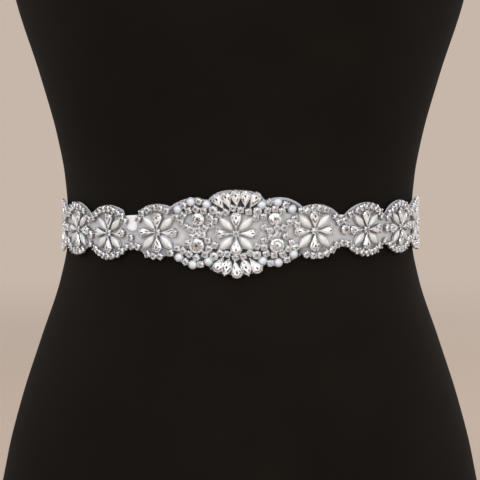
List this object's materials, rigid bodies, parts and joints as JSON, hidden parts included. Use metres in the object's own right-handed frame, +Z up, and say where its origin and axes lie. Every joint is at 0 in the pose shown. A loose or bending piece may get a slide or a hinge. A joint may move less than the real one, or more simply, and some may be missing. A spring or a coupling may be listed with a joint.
{
  "type": "bridal sash on a limbless dress form",
  "caption": "Beaded bridal sash with crystal drops, pearl petals and a satin ribbon tied at the back, worn by a black limbless dress form that stands on its flat base.",
  "frame": {"origin": "centre of the whole part's box, on the table that the dress form stands on", "axes": "+Z up, -Y out of the front of the sash, +X towards the wearer's left"},
  "size_m": [0.348, 0.254, 0.7424],
  "materials": {
    "jersey": "fine matt black knit",
    "cap": "matt black",
    "satin": "white satin ribbon with a soft sheen",
    "organza": "stiff white organza backing that carries the beadwork",
    "crystal": "foiled, faceted glass",
    "pearl": "ivory white pearl lustre",
    "silver": "polished silver claw settings"
  },
  "bodies": {
    "root": {"form_body": "jersey", "form_neck_cap": "cap", "ribbon_waist": "satin", "ribbon_knot": "satin", "ribbon_tail_left": "satin", "ribbon_tail_right": "satin", "applique": "organza"}
  },
  "joints": []
}
